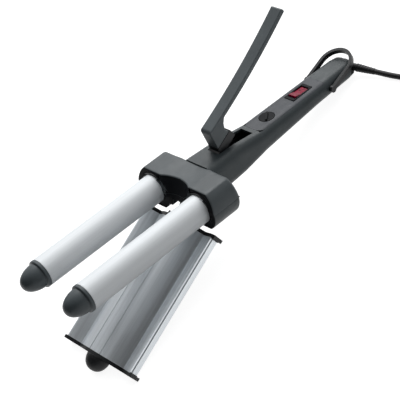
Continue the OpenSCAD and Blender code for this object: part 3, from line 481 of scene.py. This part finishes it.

# ---------------------------------------------------------------- pieces
# Both head shells' front faces carry near-black painted shade. The upper shell is in the paler charcoal, which
# paints light onto the head's top.
paint_front_shade(refine("head_upper", "tool", M["top"], 1.1, 5, wide=head_edge, most=3.2,
                   reshape=neck_cuts))
paint_front_shade(refine("head_lower", "tool", M["shell"], 0.7, 4, wide=head_edge, most=3.2,
                   reshape=neck_cuts, inner=False))
refine("handle_upper", "tool", M["shell"], 0.35, 2, smooth=30)
refine("handle_lower", "tool", M["shell"], 0.35, 2, smooth=30)
refine("control_panel", "tool", M["panel"], 0.3, 2)
refine("switch_housing", "tool", M["dial"], 0.5, 3)
refine("power_rocker", "rocker", M["red"], 1.1, 6, angle=20)
refine("temperature_dial", "dial", M["dial"], 0.2, 2, reshape=dial_grip)
refine("hanging_loop", "loop", M["black"], 0.9, 4)
refine("swivel_ball", "swivel", M["black"], 0)
refine("strain_relief", "swivel", M["cord"], 0.3, 2)
refine("left_barrel", "tool", M["barrel"], 0.3, 2)
refine("right_barrel", "tool", M["barrel"], 0.3, 2)
refine("left_tip", "tool", M["cool"], 0.3, 3)
refine("right_tip", "tool", M["cool"], 0.3, 3)
refine("left_insulator", "tool", M["black"], 0.3, 2)
refine("right_insulator", "tool", M["black"], 0.3, 2)
refine("finger_lever", "clamp", M["lever"], 0.9, 5, wide=lever_edge, frame_of=CLAMP, most=3.0)
refine("clamp_arm", "clamp", M["black"], 0.5, 3, inner=False)
refine("wave_plate", "clamp", M["plate"], 0.3, 2, angle=40, frame_of=PLATE, reshape=flange_line)
refine("rear_bar", "clamp", M["black"], 0.35, 2, frame_of=PLATE, reshape=short_prongs)
refine("front_bar", "clamp", M["black"], 0.35, 2, frame_of=PLATE, reshape=short_prongs)
refine("plate_tip", "clamp", M["cover"], 0.3, 3)
refine("plate_cover", "clamp", M["cover"], 0.3, 2)
refine("plug_body", "tool", M["black"], 1.2, 4)
refine("cord_tie", "tool", M["cord"], 0.2, 2)
refine("plug_pins", "tool", M["brass"], 0.5, 3)
# The inner pieces and the screws are the CAD's own meshes, with better materials
for material, nodes in (
        ("steel", ("head_screws", "handle_screws", "arm_screws", "cover_screws", "pivot_pin", "clamp_spring")),
        ("core", ("left_heater", "right_heater", "plate_heater")),
        ("ceramic", ("left_ceramic", "right_ceramic", "plate_ceramic", "thermal_fuse")),
        ("board", ("circuit_board", "potentiometer")),
        ("wire", ("heater_wires", "mains_wires")),
        ("lamp", ("indicator_lamp",))):
    for node in nodes:
        NODES[node].data.materials.clear()
        NODES[node].data.materials.append(M[material])

# ---------------------------------------------------------------- floor and light
# The floor takes the shadow. Its white is a glow that only the camera and reflections see.
FLOOR_GREY, FLOOR_GLOW, FLOOR_HALF = 0.45, 0.9, 6
bm = bmesh.new()
bmesh.ops.create_grid(bm, x_segments=1, y_segments=1, size=FLOOR_HALF)
me = bpy.data.meshes.new("floor")
bm.to_mesh(me)
bm.free()
floor = bpy.data.objects.new("floor", me)
SCENE.collection.objects.link(floor)
white = bpy.data.materials.new("floor_white")
white.use_nodes = True
wt = white.node_tree
wb = wt.nodes["Principled BSDF"]
wb.inputs["Base Color"].default_value = (FLOOR_GREY, FLOOR_GREY, FLOOR_GREY, 1)
wb.inputs["Roughness"].default_value = 0.9
wb.inputs["Specular IOR Level"].default_value = 0.0
wb.inputs["Emission Color"].default_value = (1, 1, 1, 1)
path = wt.nodes.new("ShaderNodeLightPath")
seen = wt.nodes.new("ShaderNodeMath")
seen.operation = "MAXIMUM"
wt.links.new(path.outputs["Is Camera Ray"], seen.inputs[0])
wt.links.new(path.outputs["Is Glossy Ray"], seen.inputs[1])
either = wt.nodes.new("ShaderNodeMath")
either.operation = "MAXIMUM"
wt.links.new(seen.outputs[0], either.inputs[0])
wt.links.new(path.outputs["Is Transmission Ray"], either.inputs[1])
glow = wt.nodes.new("ShaderNodeMath")
glow.operation = "MULTIPLY"
glow.inputs[1].default_value = FLOOR_GLOW
wt.links.new(either.outputs[0], glow.inputs[0])
wt.links.new(glow.outputs[0], wb.inputs["Emission Strength"])
me.materials.append(white)

# The sky is a wide soft light from behind the tool and a weaker one from below in front
HIGH_AXIS, LOW_AXIS = (-0.75, -0.45, 0.5), (-0.27, 0.69, -0.67)
HIGH = ((0.0, 0.03), (0.3, 0.17), (0.5, 0.42), (0.66, 0.9), (0.8, 1.1), (0.95, 1.35))
LOW = ((0.1, 0.0), (0.75, 0.6))
world = bpy.data.worlds.new("world")
SCENE.world = world
world.use_nodes = True
wn = world.node_tree
back = wn.nodes["Background"]
coord = wn.nodes.new("ShaderNodeTexCoord")


def lobe(axis, stops):
    """Sky brightness by the angle from an axis: (cosine, value) stops."""
    d = wn.nodes.new("ShaderNodeVectorMath")
    d.operation = "DOT_PRODUCT"
    d.inputs[1].default_value = Vector(axis).normalized()
    wn.links.new(coord.outputs["Generated"], d.inputs[0])
    ramp = wn.nodes.new("ShaderNodeValToRGB")
    wn.links.new(d.outputs["Value"], ramp.inputs["Fac"])
    els = ramp.color_ramp.elements
    while len(els) < len(stops):
        els.new(0.5)
    for el, (at, _) in zip(els, stops):
        el.position = at
    for el, (_, v) in zip(els, stops):
        el.color = (v * 0.985, v, v * 1.01, 1)
    return ramp.outputs["Color"]


sky = wn.nodes.new("ShaderNodeMix")
sky.data_type = "RGBA"
sky.blend_type = "ADD"
sky.inputs[0].default_value = 1.0
wn.links.new(lobe(HIGH_AXIS, HIGH), sky.inputs[6])
wn.links.new(lobe(LOW_AXIS, LOW), sky.inputs[7])
wn.links.new(sky.outputs[2], back.inputs["Color"])
back.inputs["Strength"].default_value = 1.0

KEY_AT, KEY_TO, KEY_SIZE, KEY_WATTS = Vector((-1.5, -0.9, 1.4)), Vector((0, 0, 0.05)), (1.5, 1.2), 25
lamp = bpy.data.lights.new("key", "AREA")
lamp.energy = KEY_WATTS
lamp.shape = "RECTANGLE"
lamp.size, lamp.size_y = KEY_SIZE
key = bpy.data.objects.new("key", lamp)
SCENE.collection.objects.link(key)
key.matrix_world = Matrix.Translation(KEY_AT) @ (KEY_TO - KEY_AT).to_track_quat("-Z", "Y").to_matrix().to_4x4()

SCENE.view_settings.view_transform = "Standard"
